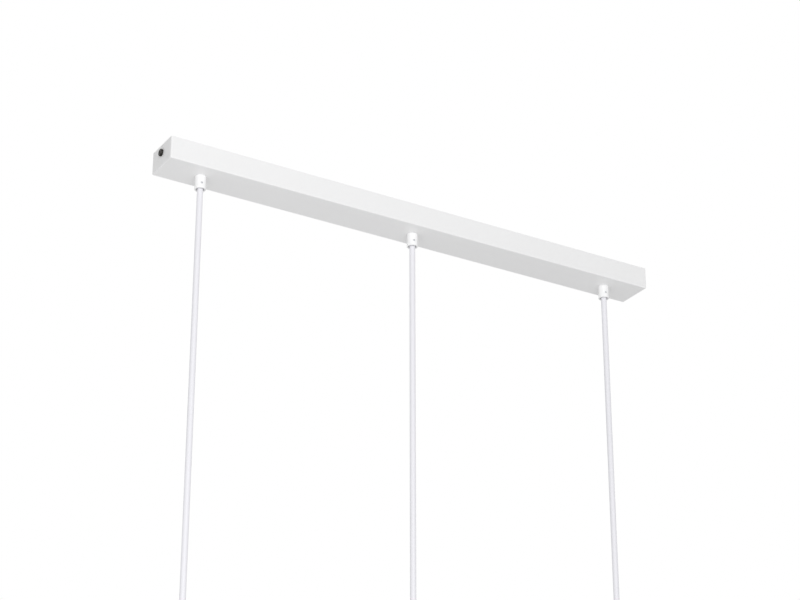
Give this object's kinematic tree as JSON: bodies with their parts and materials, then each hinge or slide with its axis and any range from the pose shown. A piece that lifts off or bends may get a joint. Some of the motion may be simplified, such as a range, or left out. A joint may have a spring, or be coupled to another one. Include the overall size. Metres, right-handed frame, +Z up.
{
  "type": "linear island pendant",
  "caption": "Long shallow ceiling canopy with cord grips in a row, each hanging a plain lampholder on a white round flex.",
  "frame": {"origin": "centre of the ceiling face of the canopy", "axes": "+X along the canopy, -Y its front long side, +Z up into the ceiling"},
  "size_m": [0.6054, 0.058, 0.572],
  "materials": {
    "canopy_paint": "white fine-texture powder coat, satin",
    "grip_white": "smooth white nylon",
    "flex_sheath": "smooth white PVC with a slightly cool tone",
    "dark_steel": "dark nickel",
    "zinc_steel": "bright zinc",
    "brass": "plain brass",
    "block_nylon": "natural nylon",
    "black_rubber": "moulded rubber",
    "live_core": "brown insulation",
    "neutral_core": "blue insulation",
    "earth_core": "green and yellow striped insulation",
    "holder_plastic": "white moulded plastic",
    "porcelain": "unglazed porcelain",
    "socket_nickel": "nickel-plated brass shell"
  },
  "bodies": {
    "canopy": {"ceiling_bracket": "zinc_steel", "canopy_cover": "canopy_paint", "terminal_housing": "block_nylon", "terminal_clamps": "brass", "terminal_screws": "zinc_steel", "block_screws": "zinc_steel", "entry_bush": "black_rubber", "earth_stud": "zinc_steel", "earth_lead": "earth_core", "grip_nuts": "zinc_steel", "grip_washers": "zinc_steel", "grip_body_1": "grip_white", "flex_top_1": "flex_sheath", "core_live_1": "live_core", "core_neutral_1": "neutral_core", "grip_body_2": "grip_white", "flex_top_2": "flex_sheath", "core_live_2": "live_core", "core_neutral_2": "neutral_core", "grip_body_3": "grip_white", "flex_top_3": "flex_sheath", "core_live_3": "live_core", "core_neutral_3": "neutral_core"},
    "end_washer_left": {"end_washer_left": "dark_steel"},
    "end_screw_left": {"end_screw_left": "dark_steel"},
    "end_washer_right": {"end_washer_right": "dark_steel"},
    "end_screw_right": {"end_screw_right": "dark_steel"},
    "set_screw_1": {"set_screw_1": "zinc_steel"},
    "set_screw_2": {"set_screw_2": "zinc_steel"},
    "set_screw_3": {"set_screw_3": "zinc_steel"},
    "flex_1": {"flex_1": "flex_sheath"},
    "lampholder_1": {"holder_cap_1": "holder_plastic", "cap_screw_1": "zinc_steel", "holder_skirt_1": "holder_plastic", "holder_insert_1": "porcelain", "holder_terminals_1": "brass", "holder_cores_1": "live_core", "thread_sleeve_1": "socket_nickel"},
    "centre_contact_1": {"centre_contact_1": "brass"},
    "shade_ring_1": {"shade_ring_1": "holder_plastic"},
    "flex_2": {"flex_2": "flex_sheath"},
    "lampholder_2": {"holder_cap_2": "holder_plastic", "cap_screw_2": "zinc_steel", "holder_skirt_2": "holder_plastic", "holder_insert_2": "porcelain", "holder_terminals_2": "brass", "holder_cores_2": "live_core", "thread_sleeve_2": "socket_nickel"},
    "centre_contact_2": {"centre_contact_2": "brass"},
    "shade_ring_2": {"shade_ring_2": "holder_plastic"},
    "flex_3": {"flex_3": "flex_sheath"},
    "lampholder_3": {"holder_cap_3": "holder_plastic", "cap_screw_3": "zinc_steel", "holder_skirt_3": "holder_plastic", "holder_insert_3": "porcelain", "holder_terminals_3": "brass", "holder_cores_3": "live_core", "thread_sleeve_3": "socket_nickel"},
    "centre_contact_3": {"centre_contact_3": "brass"},
    "shade_ring_3": {"shade_ring_3": "holder_plastic"}
  },
  "joints": [
    {"name": "end_screw_travel_left", "type": "slide", "parent": "canopy", "child": "end_washer_left", "axis": [-1, 0, 0], "range_m": [0, 0.0035]},
    {"name": "end_screw_turn_left", "type": "hinge", "parent": "end_washer_left", "child": "end_screw_left", "pos_m": [-0.3, 0, -0.0095], "axis": [-1, 0, 0], "range_deg": [0, 1800]},
    {"name": "end_screw_travel_right", "type": "slide", "parent": "canopy", "child": "end_washer_right", "axis": [1, 0, 0], "range_m": [0, 0.0035]},
    {"name": "end_screw_turn_right", "type": "hinge", "parent": "end_washer_right", "child": "end_screw_right", "pos_m": [0.3, 0, -0.0095], "axis": [1, 0, 0], "range_deg": [0, 1800]},
    {"name": "set_screw_travel_1", "type": "slide", "parent": "canopy", "child": "set_screw_1", "axis": [-0.1736, -0.9848, 0], "range_m": [0, 0.0016]},
    {"name": "set_screw_travel_2", "type": "slide", "parent": "canopy", "child": "set_screw_2", "axis": [-0.1736, -0.9848, 0], "range_m": [0, 0.0016]},
    {"name": "set_screw_travel_3", "type": "slide", "parent": "canopy", "child": "set_screw_3", "axis": [-0.1736, -0.9848, 0], "range_m": [0, 0.0016]},
    {"name": "pendant_swing_1", "type": "hinge", "parent": "canopy", "child": "flex_1", "pos_m": [-0.25525, 0, -0.039], "axis": [1, 0, 0], "range_deg": [-30, 30]},
    {"name": "pendant_raise_1", "type": "slide", "parent": "flex_1", "child": "lampholder_1", "axis": [0, 0, 1], "range_m": [0, 0.25], "deforming": ["flex_1"]},
    {"name": "contact_press_1", "type": "hinge", "parent": "lampholder_1", "child": "centre_contact_1", "pos_m": [-0.24595, 0, -0.5447], "axis": [0, 1, 0], "range_deg": [0, 9], "stiffness_Nm_per_rad": 0.05},
    {"name": "shade_ring_travel_1", "type": "slide", "parent": "lampholder_1", "child": "shade_ring_1", "axis": [0, 0, -1], "range_m": [-0.003, 0.033]},
    {"name": "pendant_swing_2", "type": "hinge", "parent": "canopy", "child": "flex_2", "pos_m": [0, 0, -0.039], "axis": [1, 0, 0], "range_deg": [-30, 30]},
    {"name": "pendant_raise_2", "type": "slide", "parent": "flex_2", "child": "lampholder_2", "axis": [0, 0, 1], "range_m": [0, 0.25], "deforming": ["flex_2"]},
    {"name": "contact_press_2", "type": "hinge", "parent": "lampholder_2", "child": "centre_contact_2", "pos_m": [0.0093, 0, -0.5447], "axis": [0, 1, 0], "range_deg": [0, 9], "stiffness_Nm_per_rad": 0.05},
    {"name": "shade_ring_travel_2", "type": "slide", "parent": "lampholder_2", "child": "shade_ring_2", "axis": [0, 0, -1], "range_m": [-0.003, 0.033]},
    {"name": "pendant_swing_3", "type": "hinge", "parent": "canopy", "child": "flex_3", "pos_m": [0.25525, 0, -0.039], "axis": [1, 0, 0], "range_deg": [-30, 30]},
    {"name": "pendant_raise_3", "type": "slide", "parent": "flex_3", "child": "lampholder_3", "axis": [0, 0, 1], "range_m": [0, 0.25], "deforming": ["flex_3"]},
    {"name": "contact_press_3", "type": "hinge", "parent": "lampholder_3", "child": "centre_contact_3", "pos_m": [0.26455, 0, -0.5447], "axis": [0, 1, 0], "range_deg": [0, 9], "stiffness_Nm_per_rad": 0.05},
    {"name": "shade_ring_travel_3", "type": "slide", "parent": "lampholder_3", "child": "shade_ring_3", "axis": [0, 0, -1], "range_m": [-0.003, 0.033]}
  ],
  "couplings": [
    {"joint": "end_screw_turn_left", "follows": "end_screw_travel_left", "rad_per_m": 8976},
    {"joint": "end_screw_turn_right", "follows": "end_screw_travel_right", "rad_per_m": 8976}
  ]
}
